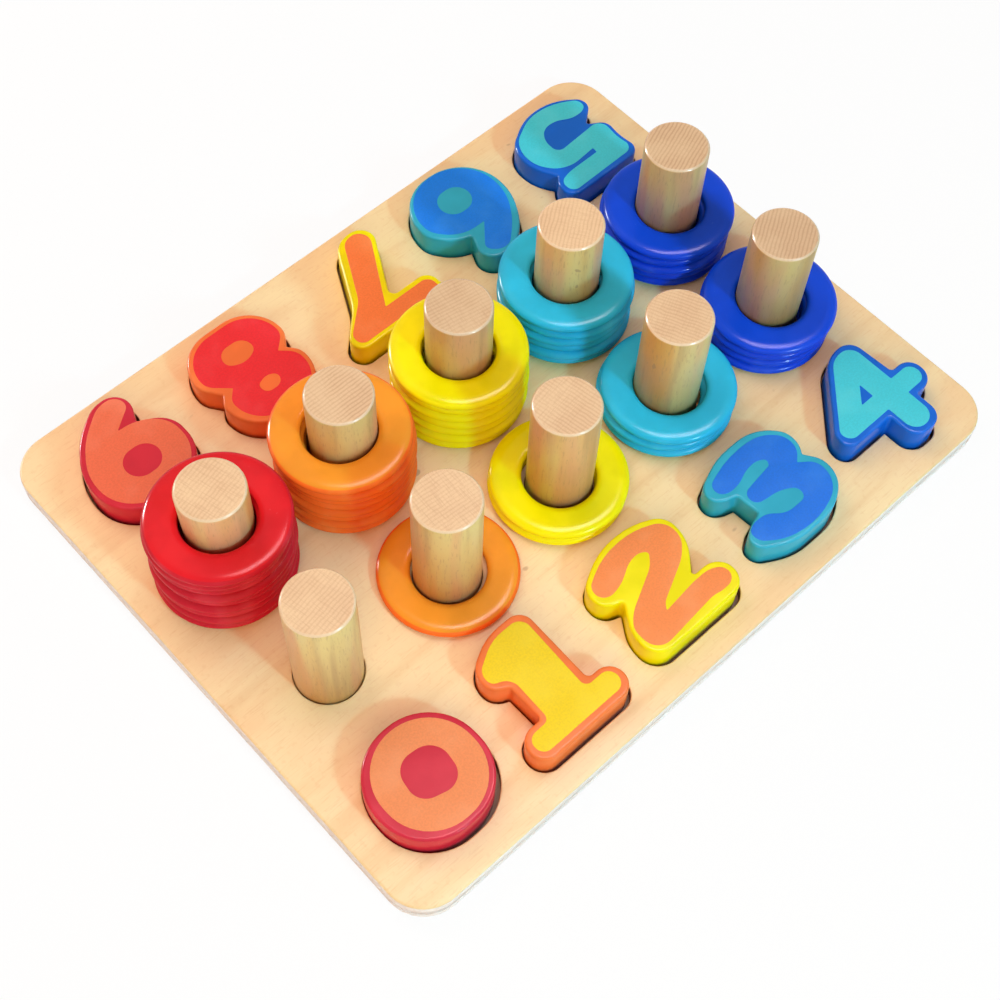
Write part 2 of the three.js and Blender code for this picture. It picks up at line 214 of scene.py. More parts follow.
class Slot(Enum):
    """The material slots of the record."""

    BOARD = "board"
    PEG = "peg"
    CRIMSON = "crimson_paint"
    RED = "red_paint"
    ORANGE = "orange_paint"
    YELLOW = "yellow_paint"
    CYAN = "cyan_paint"
    BLUE = "blue_paint"


class BoardCoat(IntEnum):
    """The numbers of a board layer's finishes."""

    FACE = 0
    SIDE = 1
    POCKET = 2


class PegCoat(IntEnum):
    """The numbers of a peg's finishes."""

    SIDE = 0
    END = 1


def darker(colour: Rgb, share: float) -> Rgb:
    """Gives a display colour with that share of its brightness."""
    return tuple(round(value * share) for value in colour)


def paler(colour: Rgb, share: float) -> Rgb:
    """Gives a display colour drawn that far towards white."""
    return tuple(round(value + (WHITE - value) * share) for value in colour)


def linear(colour: Rgb) -> tuple[float, float, float, float]:
    """Turns a display colour into the linear one that shaders take.

    Args:
        colour: Red, green and blue, from 0 to 255.

    Returns:
        The linear colour with full opacity.
    """
    shares = [value / WHITE for value in colour]
    toe, slope = 0.04045, 12.92
    bent = [s / slope if s <= toe else ((s + 0.055) / 1.055) ** 2.4 for s in shares]
    return (bent[0], bent[1], bent[2], 1.0)


class Nodes:
    """The nodes of a material or of the surroundings, laid out one call at a time."""

    def __init__(self, tree: bpy.types.NodeTree) -> None:
        """Keeps the tree that the nodes go into."""
        self.tree = tree

    def join(self, value: object, socket: bpy.types.NodeSocket) -> None:
        """Links an output to a socket, or sets the socket's own value.

        Args:
            value: An output socket, or a plain value.
            socket: The input that takes it.
        """
        if isinstance(value, bpy.types.NodeSocket):
            self.tree.links.new(value, socket)
        else:
            socket.default_value = value

    def node(
        self, kind: str, inputs: dict[int | str, object] | None = None, **settings: object
    ) -> bpy.types.Node:
        """Adds a node.

        Args:
            kind: The node's type.
            inputs: What its sockets take, by name or number.
            settings: Its own settings, by name.

        Returns:
            The new node.
        """
        made = self.tree.nodes.new(kind)
        for name, value in settings.items():
            setattr(made, name, value)
        for key, value in (inputs or {}).items():
            self.join(value, made.inputs[key])
        return made

    def blend(self, share: object, first: object, second: object) -> bpy.types.NodeSocket:
        """Blends two colours.

        Args:
            share: How much of the second there is.
            first: The first colour.
            second: The second colour.

        Returns:
            The blended colour.
        """
        factor, a, b, blended = 0, 6, 7, 2
        inputs = {factor: share, a: first, b: second}
        return self.node("ShaderNodeMix", inputs, data_type="RGBA").outputs[blended]

    def reckoned(self, operation: str, first: object, second: object) -> bpy.types.NodeSocket:
        """Joins two values by an operation, such as MULTIPLY."""
        return self.node("ShaderNodeMath", {0: first, 1: second}, operation=operation).outputs[0]


class Recipe(Nodes):
    """A material, its patterns and its surface."""

    def __init__(self, name: str) -> None:
        """Starts a material that holds one surface shader.

        Args:
            name: The material's name.
        """
        self.material = bpy.data.materials.new(name)
        self.material.use_nodes = True
        super().__init__(self.material.node_tree)
        self.surface = self.tree.nodes["Principled BSDF"]
        self.place = self.node("ShaderNodeTexCoord").outputs["Object"]

    def stretched(self, stretch: Triple, turn: float, shift: float) -> bpy.types.NodeSocket:
        """Gives the place on the object, turned about Z and then scaled along each axis.

        Args:
            stretch: Cells per metre along X, Y and Z.
            turn: The angle about Z, in radians.
            shift: How far the pattern is moved, so that no two are alike.

        Returns:
            The vector output.
        """
        about_place = {"Vector": self.place, "Angle": turn}
        turned = self.node("ShaderNodeVectorRotate", about_place, rotation_type="Z_AXIS")
        scaling = {0: turned.outputs["Vector"], 1: stretch, 2: (shift, shift, shift)}
        scaled = self.node("ShaderNodeVectorMath", scaling, operation="MULTIPLY_ADD")
        return scaled.outputs["Vector"]

    def noise(
        self,
        stretch: Triple = (1, 1, 1),
        scale: float = 1.0,
        detail: float = 3.0,
        distortion: float = 0.0,
        turn: float = 0.0,
        shift: float = 0.0,
    ) -> bpy.types.NodeSocket:
        """Adds a cloudy pattern.

        Args:
            stretch: Cells per metre along X, Y and Z.
            scale: What all three are multiplied by.
            detail: How many finer layers it has.
            distortion: How much it is warped.
            turn: Its angle about Z, in radians.
            shift: How far it is moved, so that no two are alike.

        Returns:
            The pattern's value, mostly from 0.3 to 0.7.
        """
        vector = self.stretched(stretch, turn, shift)
        inputs = {"Vector": vector, "Scale": scale, "Detail": detail, "Distortion": distortion}
        return self.node("ShaderNodeTexNoise", inputs).outputs["Fac"]

    def waves(
        self, scale: float, distortion: float, detail: float, turn: float, shift: float
    ) -> bpy.types.NodeSocket:
        """Adds parallel bands across X.

        Args:
            scale: Bands per metre, roughly.
            distortion: How much they wander.
            detail: How many finer layers the wandering has.
            turn: Their angle about Z, in radians.
            shift: How far they are moved, so that no two patterns are alike.

        Returns:
            The bands' value, from 0 to 1.
        """
        vector = self.stretched((1, 1, 1), turn, shift)
        inputs = {"Vector": vector, "Scale": scale, "Distortion": distortion, "Detail": detail}
        made = self.node("ShaderNodeTexWave", inputs, wave_type="BANDS", bands_direction="X")
        return made.outputs["Fac"]

    def rim(self) -> bpy.types.NodeSocket:
        """Gives how much of a worn edge the place is, from 0 to 1, and on a ring how much painted shade
        its side takes.
        """
        return self.node("ShaderNodeAttribute", attribute_name="rim").outputs["Fac"]

    def spread(
        self, value: bpy.types.NodeSocket, low: float, high: float, to_low: float, to_high: float
    ) -> bpy.types.NodeSocket:
        """Spreads one range of a value over another, smoothly and held at its ends.

        Args:
            value: The value that is spread.
            low: The start of its range.
            high: The end of its range.
            to_low: What the start becomes.
            to_high: What the end becomes.

        Returns:
            The new value.
        """
        inputs = {
            "Value": value, "From Min": low, "From Max": high, "To Min": to_low, "To Max": to_high,
        }
        made = self.node("ShaderNodeMapRange", inputs, interpolation_type="SMOOTHSTEP")
        return made.outputs["Result"]

    def over(
        self,
        colour: object,
        cover: object,
        pattern: bpy.types.NodeSocket,
        low: float,
        high: float,
        most: float = 1.0,
    ) -> bpy.types.NodeSocket:
        """Lays a second colour over the first where a pattern is high.

        Args:
            colour: The first colour.
            cover: The second colour.
            pattern: The pattern.
            low: Where the cover begins in it.
            high: Where the cover is at its most.
            most: How much of the first colour it hides there.

        Returns:
            The new colour.
        """
        return self.blend(self.spread(pattern, low, high, 0.0, most), colour, cover)

    def relief(self, height: bpy.types.NodeSocket, depth: float, strength: float) -> None:
        """Raises and lowers the surface by a pattern.

        Args:
            height: The pattern, from 0 to 1.
            depth: How far apart 0 and 1 lie, in metres.
            strength: How much of the relief shows.
        """
        normal = self.surface.inputs["Normal"]
        inputs = {"Height": height, "Distance": depth, "Strength": strength}
        if normal.is_linked:
            inputs["Normal"] = normal.links[0].from_socket
        self.join(self.node("ShaderNodeBump", inputs).outputs["Normal"], normal)

    def finish(self, colour: object, roughness: object, gloss: float) -> bpy.types.Material:
        """Sets the surface and hands the material over.

        Args:
            colour: The colour, or a pattern of it.
            roughness: The roughness, or a pattern of it.
            gloss: The level of the highlights, where 0.5 is plain varnish.

        Returns:
            The material.
        """
        self.join(colour, self.surface.inputs["Base Color"])
        self.join(roughness, self.surface.inputs["Roughness"])
        self.surface.inputs["Specular IOR Level"].default_value = gloss
        return self.material


@dataclass(frozen=True)
class Lacquer:
    """Gloss paint, sprayed on wood and sanded by play at its edges.

    Attributes:
        name: The material's name.
        slot: The record's slot that the paint belongs to.
        colour: The display colour, from 0 to 255.
        painted_side_shade: The display colour of painted shade on a ring's outer side, darker than its
            top.
        roughness: The roughness of a clean stretch.
        gloss: The level of the highlights.
        mottle: The brightness of the darker clouds.
        wobble: The depth of the coat's unevenness.
    """

    name: str
    slot: Slot
    colour: Rgb
    painted_side_shade: Rgb | None = None
    roughness: float = 0.2
    gloss: float = 0.12
    mottle: float = 0.95
    wobble: float = 0.04 * MM

    def material(self) -> bpy.types.Material:
        """Makes the paint: faint clouds, painted shade on a ring's outer side, a thinner coat on the edges
        and a slight orange peel.

        Returns:
            The material.
        """
        recipe = Recipe(self.name)
        clouds = recipe.noise(scale=60, detail=4)
        peel = recipe.noise(scale=420, detail=2)
        dust = recipe.noise(scale=900, detail=1, shift=4.0)
        deep = linear(darker(self.colour, self.mottle))
        pale = linear(paler(self.colour, 0.25))
        rim = recipe.rim()
        colour = recipe.over(deep, linear(self.colour), clouds, 0.35, 0.65)
        # A ring's outer side is painted darker and redder here, as painted shade.
        if self.painted_side_shade:
            colour = recipe.over(colour, linear(self.painted_side_shade), rim, 0.0, 1.0, 0.9)
        worn = recipe.reckoned("MULTIPLY", rim, recipe.spread(clouds, 0.5, 0.7, 0.1, 0.6))
        colour = recipe.blend(recipe.reckoned("MULTIPLY", worn, 0.5), colour, pale)
        colour = recipe.over(colour, pale, dust, 0.76, 0.8, 0.3)
        recipe.relief(clouds, self.wobble * 4, 0.2)
        recipe.relief(peel, self.wobble, 0.14)
        roughness = recipe.spread(clouds, 0.3, 0.7, self.roughness * 0.8, self.roughness * 1.3)
        return recipe.finish(colour, roughness, self.gloss)


@dataclass(frozen=True)
class Print:
    """Screen-printed ink, matt and finely mottled.

    Attributes:
        name: The material's name.
        slot: The record's slot that the ink belongs to.
        colour: The display colour, from 0 to 255.
        roughness: The roughness, on average.
        gloss: The level of the highlights.
    """

    name: str
    slot: Slot
    colour: Rgb
    roughness: float = 0.5
    gloss: float = 0.1

    def material(self) -> bpy.types.Material:
        """Makes the ink: a stippled coat over wood grain, with paler clouds.

        Returns:
            The material.
        """
        recipe = Recipe(self.name)
        stipple = recipe.noise(scale=1300)
        grain = recipe.noise((900, 90, 90))
        clouds = recipe.noise(scale=70)
        deep = linear(darker(self.colour, 0.955))
        pale = linear(paler(self.colour, 0.12))
        colour = recipe.over(deep, linear(self.colour), stipple, 0.3, 0.7)
        colour = recipe.over(colour, deep, grain, 0.55, 0.75, 0.35)
        colour = recipe.over(colour, pale, clouds, 0.45, 0.7, 0.5)
        recipe.relief(stipple, 0.08 * MM, 0.35)
        recipe.relief(grain, 0.08 * MM, 0.15)
        roughness = recipe.spread(stipple, 0.3, 0.7, self.roughness * 0.85, self.roughness * 1.15)
        return recipe.finish(colour, roughness, self.gloss)


@dataclass(frozen=True)
class BoardFace:
    """Pale birch veneer with a thin clear coat, its grain along the board.

    Attributes:
        name: The material's name.
        light: The display colour of the pale wood.
        warm: The display colour of the warmer clouds.
        streak: The display colour of the pores.
    """

    name: str
    light: Rgb
    warm: Rgb
    streak: Rgb

    def material(self) -> bpy.types.Material:
        """Makes the veneer: clouds, long figure, short pores and a few specks.

        Returns:
            The material.
        """
        recipe = Recipe(self.name)
        clouds = recipe.noise((14, 26, 26), detail=5, distortion=0.6)
        figure = recipe.noise((9, 95, 95), detail=6, distortion=0.4)
        pores = recipe.noise((130, 1500, 1500))
        rays = recipe.noise((500, 420, 420), detail=2)
        specks = recipe.noise((95, 120, 120), detail=1, shift=3.0)
        streak = linear(self.streak)
        dark = linear(darker(self.streak, 0.72))
        colour = recipe.over(linear(self.light), linear(self.warm), clouds, 0.35, 0.68)
        colour = recipe.over(colour, streak, figure, 0.48, 0.75, 0.38)
        colour = recipe.over(colour, streak, pores, 0.52, 0.72, 0.24)
        colour = recipe.over(colour, streak, rays, 0.56, 0.74, 0.16)
        colour = recipe.over(colour, dark, specks, 0.765, 0.8, 0.55)
        recipe.relief(pores, 0.08 * MM, 0.3)
        recipe.relief(figure, 0.1 * MM, 0.12)
        roughness = recipe.spread(figure, 0.3, 0.7, 0.42, 0.58)
        return recipe.finish(colour, roughness, gloss=0.35)


@dataclass(frozen=True)
class BoardSide:
    """The board's sanded edge, paler than its face, with faint layers of wood.

    Attributes:
        name: The material's name.
        colour: The display colour.
    """

    name: str
    colour: Rgb

    def material(self) -> bpy.types.Material:
        """Makes the edge: thin level lines and a few dark specks.

        Returns:
            The material.
        """
        recipe = Recipe(self.name)
        layers = recipe.noise((30, 30, 620))
        fibres = recipe.noise((700, 700, 180))
        specks = recipe.noise((160, 160, 200), detail=1, shift=5.0)
        deep = linear(darker(self.colour, 0.9))
        dark = linear(darker(self.colour, 0.5))
        colour = recipe.over(linear(self.colour), deep, layers, 0.42, 0.66, 0.5)
        colour = recipe.over(colour, deep, fibres, 0.5, 0.7, 0.3)
        colour = recipe.over(colour, dark, specks, 0.76, 0.79, 0.7)
        recipe.relief(fibres, 0.1 * MM, 0.3)
        roughness = recipe.spread(fibres, 0.3, 0.7, 0.5, 0.7)
        return recipe.finish(colour, roughness, gloss=0.3)


@dataclass(frozen=True)
class PegSide:
    """The turned side of a beech peg, its grain along the peg.

    Attributes:
        name: The material's name.
        light: The display colour of the pale wood.
        warm: The display colour of the warm streaks.
        amber: The display colour of the deep heartwood bands.
        shift: Moves the pattern, so that no two pegs are alike.
    """

    name: str
    light: Rgb
    warm: Rgb
    amber: Rgb
    shift: float

    def material(self) -> bpy.types.Material:
        """Makes the side: long streaks, short flecks and a knot dot here and there.

        Returns:
            The material.
        """
        recipe = Recipe(self.name)
        streaks = recipe.noise((170, 170, 12), detail=4, shift=self.shift)
        flecks = recipe.noise((1500, 1500, 240), detail=2, shift=self.shift)
        tint = recipe.noise((75, 75, 9), detail=2, shift=self.shift * 2)
        glow = recipe.noise((62, 62, 7), detail=2, shift=self.shift * 3)
        specks = recipe.noise((260, 260, 190), detail=1, shift=self.shift)
        deep = linear(darker(self.warm, 0.78))
        colour = recipe.over(linear(self.light), linear(self.warm), tint, 0.4, 0.62)
        colour = recipe.over(colour, linear(self.amber), glow, 0.5, 0.68, 0.7)
        colour = recipe.over(colour, deep, streaks, 0.5, 0.72, 0.4)
        colour = recipe.over(colour, deep, flecks, 0.55, 0.72, 0.35)
        colour = recipe.over(colour, deep, specks, 0.76, 0.8, 0.6)
        recipe.relief(flecks, 0.06 * MM, 0.25)
        recipe.relief(streaks, 0.1 * MM, 0.12)
        roughness = recipe.spread(streaks, 0.3, 0.7, 0.34, 0.48)
        return recipe.finish(colour, roughness, gloss=0.35)


@dataclass(frozen=True)
class PegEnd:
    """The sawn and sanded end grain of a beech peg.

    Attributes:
        name: The material's name.
        light: The display colour of the pale wood.
        line: The display colour of the grain lines.
        turn: Which way the lines run, in radians.
        shift: Moves the pattern, so that no two pegs are alike.
        depth: How strong the growth lines are, while the rays weaken.
    """

    name: str
    light: Rgb
    line: Rgb
    turn: float
    shift: float
    depth: float

    def material(self) -> bpy.types.Material:
        """Makes the end grain: parallel growth lines crossed by fine rays.

        Returns:
            The material.
        """
        recipe = Recipe(self.name)
        growth = recipe.waves(220, distortion=2.2, detail=2, turn=self.turn, shift=self.shift)
        rays = recipe.noise((130, 2100, 1), turn=self.turn, shift=self.shift)
        pores = recipe.noise(scale=2200, detail=1, shift=self.shift)
        tint = recipe.noise(scale=70, detail=2, shift=self.shift)
        rim = recipe.rim()
        line = linear(self.line)
        warm = linear(tuple(round(a * 0.6 + b * 0.4) for a, b in zip(self.light, self.line)))
        pale = linear(paler(self.light, 0.18))
        colour = recipe.over(linear(self.light), warm, tint, 0.35, 0.65, 0.5)
        patches = recipe.spread(tint, 0.3, 0.6, 0.4, 1.0)
        lines = recipe.spread(growth, 0.35, 1.0, 0.0, 0.57 * self.depth)
        colour = recipe.blend(recipe.reckoned("MULTIPLY", lines, patches), colour, line)
        colour = recipe.over(colour, line, rays, 0.46, 0.68, 0.22 / self.depth)
        colour = recipe.over(colour, line, pores, 0.58, 0.72, 0.3)
        colour = recipe.blend(recipe.reckoned("MULTIPLY", rim, 0.8), colour, pale)
        recipe.relief(growth, 0.06 * MM, 0.2)
        recipe.relief(pores, 0.05 * MM, 0.2)
        sawn = recipe.spread(pores, 0.3, 0.7, 0.5, 0.65)
        sanded = recipe.spread(rim, 0.2, 1.0, 0.0, 0.32)
        roughness = recipe.reckoned("SUBTRACT", sawn, sanded)
        return recipe.finish(colour, roughness, gloss=0.3)


BOARD_FACE = BoardFace("board_face", (246, 219, 166), (243, 204, 150), (222, 168, 110))
BOARD_SIDE = BoardSide("board_side", (245, 231, 222))
POCKET_WALL = BoardFace("pocket_wall", (150, 96, 66), (128, 74, 50), (96, 52, 36))
POCKET_FLOOR = BoardFace("pocket_floor", (190, 148, 102), (178, 130, 88), (136, 92, 62))

CRIMSON_LACQUER = Lacquer("crimson_lacquer", Slot.CRIMSON, (218, 44, 66))
ORANGE_LACQUER = Lacquer("orange_lacquer", Slot.ORANGE, (255, 128, 64))
YELLOW_LACQUER = Lacquer("yellow_lacquer", Slot.YELLOW, (255, 240, 0))
TEAL_LACQUER = Lacquer("teal_lacquer", Slot.CYAN, (52, 178, 210))
BLUE_LACQUER = Lacquer("blue_lacquer", Slot.BLUE, (20, 106, 222))
# The second colour of each ring lacquer is painted shade for the rings' outer sides.
RED_RING_LACQUER = Lacquer("red_ring_lacquer", Slot.RED, (232, 30, 40), (200, 24, 44))
ORANGE_RING_LACQUER = Lacquer("orange_ring_lacquer", Slot.ORANGE, (255, 160, 46), (255, 102, 30))
YELLOW_RING_LACQUER = Lacquer("yellow_ring_lacquer", Slot.YELLOW, (255, 243, 0), (255, 242, 0))
CYAN_RING_LACQUER = Lacquer("cyan_ring_lacquer", Slot.CYAN, (50, 197, 240), (32, 180, 230))
BLUE_RING_LACQUER = Lacquer("blue_ring_lacquer", Slot.BLUE, (12, 74, 224), (10, 66, 220))

SALMON_PRINT = Print("salmon_print", Slot.ORANGE, (247, 148, 92))
CORAL_PRINT = Print("coral_print", Slot.ORANGE, (244, 120, 84))
YELLOW_PRINT = Print("yellow_print", Slot.YELLOW, (252, 217, 22))
APRICOT_PRINT = Print("apricot_print", Slot.ORANGE, (254, 146, 80))
ORANGE_PRINT = Print("orange_print", Slot.ORANGE, (255, 133, 66))
BLUE_PRINT = Print("blue_print", Slot.BLUE, (22, 118, 236))
AZURE_PRINT = Print("azure_print", Slot.BLUE, (18, 130, 246))
TURQUOISE_PRINT = Print("turquoise_print", Slot.CYAN, (68, 208, 226))
RED_PRINT = Print("red_print", Slot.RED, (244, 44, 52))

# Each number's paint on its tile, its ink and the paint on its rings.
SCHEME: dict[str, tuple[Lacquer, Print, Lacquer | None]] = {
    "zero": (CRIMSON_LACQUER, SALMON_PRINT, None),
    "one": (ORANGE_LACQUER, YELLOW_PRINT, ORANGE_RING_LACQUER),
    "two": (YELLOW_LACQUER, APRICOT_PRINT, YELLOW_RING_LACQUER),
    "three": (TEAL_LACQUER, BLUE_PRINT, CYAN_RING_LACQUER),
    "four": (BLUE_LACQUER, TURQUOISE_PRINT, BLUE_RING_LACQUER),
    "five": (BLUE_LACQUER, TURQUOISE_PRINT, BLUE_RING_LACQUER),
    "six": (TEAL_LACQUER, AZURE_PRINT, CYAN_RING_LACQUER),
    "seven": (YELLOW_LACQUER, ORANGE_PRINT, YELLOW_RING_LACQUER),
    "eight": (ORANGE_LACQUER, RED_PRINT, ORANGE_RING_LACQUER),
    "nine": (CRIMSON_LACQUER, CORAL_PRINT, RED_RING_LACQUER),
}

# How far each pocket's middle lies off its tile's, in millimetres, where it isn't the usual way.
SLACKS: dict[str, tuple[float, float]] = {
    "zero": (0.68, -0.45), "two": (0.45, -0.5), "three": (-0.05, -0.2), "four": (-0.1, -0.25),
    "five": (0.5, 0.1), "seven": (0.0, 0.0), "nine": (0.05, -0.3),
}


@dataclass
class Corner:
    """One rounded corner of an outline.

    Attributes:
        at: Where the two sides would meet.
        arriving: The direction of the side before it.
        leaving: The direction of the side after it.
        radius: The rounding.
    """

    at: Vector
    arriving: Vector
    leaving: Vector
    radius: float

    @property
    def turn(self) -> float:
        """The angle between the two sides."""
        return math.acos(max(-1.0, min(1.0, self.arriving.dot(self.leaving))))

    @property
    def side(self) -> float:
        """1 where the outline bulges, and -1 where it turns in."""
        cross = self.arriving.x * self.leaving.y - self.arriving.y * self.leaving.x
        return math.copysign(1.0, cross)

    @property
    def reach(self) -> float:
        """How far along its sides the rounding reaches."""
        return self.radius * math.tan(self.turn / 2)

    def moved(self, grow: float) -> "Corner":
        """Gives the corner of the same outline moved outwards.

        Args:
            grow: How far it is moved.

        Returns:
            The moved corner.
        """
        least = 0.004 * MM
        mitre = Vector((self.arriving.y + self.leaving.y, -self.arriving.x - self.leaving.x))
        at = self.at + mitre * (grow / (1 + self.arriving.dot(self.leaving)))
        return Corner(at, self.arriving, self.leaving, max(self.radius + self.side * grow, least))

    def arc(self, step: float) -> list[Vector]:
        """Gives the rounding's points, as many for any radius.

        Args:
            step: The largest angle between two points.

        Returns:
            The points, from one side to the other.
        """
        start = self.at - self.arriving * self.reach
        inward = Vector((-self.arriving.y, self.arriving.x)) * self.side * self.radius
        count = max(2, math.ceil(self.turn / step))
        points = []
        for i in range(count + 1):
            spoke = -inward
            spoke.rotate(Matrix.Rotation(self.side * self.turn * i / count, 2))
            points.append(start + inward + spoke)
        return points


def fitted(corners: list[Corner]) -> list[Corner]:
    """Lessens the roundings that their neighbours leave no room for.

    Args:
        corners: The corners of a closed outline.

    Returns:
        The same corners.
    """
    count = len(corners)
    shares = []
    for i, corner in enumerate(corners):
        for other in (corners[i - 1], corners[(i + 1) % count]):
            room = (corner.at - other.at).length
            shares.append(room / max(corner.reach + other.reach, room))
    for i, corner in enumerate(corners):
        corner.radius *= min(shares[2 * i : 2 * i + 2])
    return corners


def eased(corners: list[Corner], least: float) -> list[Corner]:
    """Lets the gentle corners grow into the straights beside them, so that curves run smoothly.

    Args:
        corners: The corners of a closed outline.
        least: Corners with a smaller rounding stay crisp.

    Returns:
        The same corners.
    """
    gentle, most, rounds = math.radians(76), 2.6, 2
    spare_share, snug = 0.6, 0.98
    widest = [corner.radius * most for corner in corners]
    for _ in range(rounds):
        for i, corner in enumerate(corners):
            if corner.turn > gentle or corner.radius < least:
                continue
            rooms = []
            for other in (corners[i - 1], corners[(i + 1) % len(corners)]):
                spare = (corner.at - other.at).length - corner.reach - other.reach
                rooms.append(corner.reach + spare_share * max(spare, 0.0))
            grown = snug * min(rooms) / math.tan(corner.turn / 2)
            corner.radius = max(corner.radius, min(grown, widest[i]))
    return corners


class Outline:
    """A closed outline with rounded corners, which can be moved outwards or inwards."""

    def __init__(self, corners: Corners, size: float = 1.0) -> None:
        """Rounds each corner as far as its neighbours leave room.

        Args:
            corners: Each corner's x, y and radius, counter-clockwise.
            size: What they are multiplied by.
        """
        places = [Vector((x, y)) * size for x, y, _ in corners]
        made = []
        for i, (_, _, radius) in enumerate(corners):
            arriving = (places[i] - places[i - 1]).normalized()
            leaving = (places[(i + 1) % len(places)] - places[i]).normalized()
            made.append(Corner(places[i], arriving, leaving, radius * size))
        crisp = 0.045 * size
        self.corners = eased(fitted(made), crisp)

    def points(self, grow: float = 0.0, step: float = math.radians(7)) -> list[Vector]:
        """Gives the outline's points, as many for any grow."""
        moved = fitted([corner.moved(grow) for corner in self.corners])
        return [point for corner in moved for point in corner.arc(step)]

    @property
    def height(self) -> tuple[float, float]:
        """The lowest and the highest y."""
        ys = [point.y for point in self.points()]
        return min(ys), max(ys)


def linked(name: str, data: bpy.types.ID) -> bpy.types.Object:
    """Makes an object and links it to the scene.

    Args:
        name: Its name.
        data: Its mesh, lamp or camera.

    Returns:
        The object.
    """
    made = bpy.data.objects.new(name, data)
    bpy.context.scene.collection.objects.link(made)
    return made


def circle(middle: Vector, radius: float, sides: int) -> list[Vector]:
    """Gives the points of a level circle."""
    angles = [2 * math.pi * i / sides for i in range(sides)]
    return [middle + Vector((math.cos(a), math.sin(a))) * radius for a in angles]


@dataclass
class Skin:
    """A mesh that is built up from closed rows of points.

    Attributes:
        points: The points so far.
        faces: The faces so far, each with its finish's number.
        rims: How much of a worn edge each point is, from 0 to 1; on a ring's side, how much painted shade
            it takes.
        least: How near two points may be before they become one.
    """

    points: list[Vector] = field(default_factory=list)
    faces: list[tuple[tuple[int, ...], int]] = field(default_factory=list)
    rims: list[float] = field(default_factory=list)
    least: float = 0.001 * MM

    def row(self, flat: list[Vector], z: float, rim: float = 0.0) -> list[int]:
        """Adds a level row of points.

        Args:
            flat: The row's x and y.
            z: Its height.
            rim: How much of a worn edge it is, and on a ring's side how much painted shade it takes.

        Returns:
            The new points' numbers.
        """
        start = len(self.points)
        self.points.extend(Vector((p.x, p.y, z)) for p in flat)
        self.rims.extend([rim] * len(flat))
        return list(range(start, len(self.points)))

    def band(self, low: list[int], high: list[int], finish: int = 0) -> None:
        """Joins two rows of equally many points by a band.

        Args:
            low: The first row.
            high: The second row.
            finish: The finish's number.
        """
        count = len(low)
        for i in range(count):
            j = (i + 1) % count
            self.faces.append(((low[i], low[j], high[j], high[i]), finish))

    def bands(self, rows: list[list[int]], finish: int = 0) -> None:
        """Joins each row to the next one."""
        for low, high in zip(rows, rows[1:]):
            self.band(low, high, finish)

    def cap(self, rows: list[list[int]], finish: int = 0) -> None:
        """Closes a level face.

        Args:
            rows: Its outer row, and then the row of each hole in it.
            finish: The finish's number.
        """
        numbers = [number for row in rows for number in row]
        loops, start = [], 0
        for row in rows:
            loops.append(list(range(start, start + len(row))))
            start += len(row)
        flat = [self.points[number].xy for number in numbers]
        without_holes = 2
        made = delaunay_2d_cdt(flat, [], loops, without_holes, 0.1 * self.least)
        triangles, sources = made[2], made[3]
        for triangle in triangles:
            face = tuple(numbers[sources[corner][0]] for corner in triangle)
            self.faces.append((face, finish))

    def piece(
        self, name: str, finishes: list[bpy.types.Material], slot: Slot, body: str
    ) -> bpy.types.Object:
        """Makes the object and hangs it on its body.

        Args:
            name: The object's name.
            finishes: Its materials, by number.
            slot: The record's slot; it is not used.
            body: The body that it moves with.

        Returns:
            The object.
        """
        mesh = bpy.data.meshes.new(name)
        mesh.from_pydata(self.points, [], [face for face, _ in self.faces])
        for material in finishes:
            mesh.materials.append(material)
        mesh.polygons.foreach_set("material_index", [finish for _, finish in self.faces])
        mesh.shade_smooth()
        rim = mesh.attributes.new("rim", "FLOAT", "POINT")
        rim.data.foreach_set("value", self.rims)
        shell = bmesh.new()
        shell.from_mesh(mesh)
        bmesh.ops.remove_doubles(shell, verts=shell.verts, dist=self.least)
        bmesh.ops.recalc_face_normals(shell, faces=shell.faces)
        shell.to_mesh(mesh)
        shell.free()
        made = linked(name, mesh)
        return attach(made, body)


def quarter(reach: float, rise: float, steps: int) -> list[tuple[float, float]]:
    """Gives a quarter of an oval, from a wall to a face.

    Args:
        reach: How far the rounding reaches along the face.
        rise: How far it reaches down the wall.
        steps: How many steps it has.

    Returns:
        Pairs of the distance in from the wall and the distance down from the face.
    """
    pairs = []
    for i in range(steps + 1):
        angle = math.pi / 2 * i / steps
        pairs.append((reach * (1 - math.cos(angle)), rise * (1 - math.sin(angle))))
    return pairs


@dataclass
class Placed:
    """An outline in its place on the board.

    Attributes:
        outline: The outline.
        place: Where its own origin lies.
        turn: Its angle about Z, in radians.
        play: How far it always lies outside itself, for a cut round it.
    """

    outline: Outline
    place: Vector
    turn: float
    play: float = 0.0

    def row(self, skin: Skin, grow: float, z: float, rim: float = 0.0) -> list[int]:
        """Adds the outline to a mesh as a level row of points.

        Args:
            skin: The mesh.
            grow: How far it is moved outwards, past its play.
            z: The row's height.
            rim: How much of a worn edge it is.

        Returns:
            The new points' numbers.
        """
        flat = []
        for point in self.outline.points(self.play + grow):
            point.rotate(Matrix.Rotation(self.turn, 2))
            flat.append(point + self.place.xy)
        return skin.row(flat, z, rim)


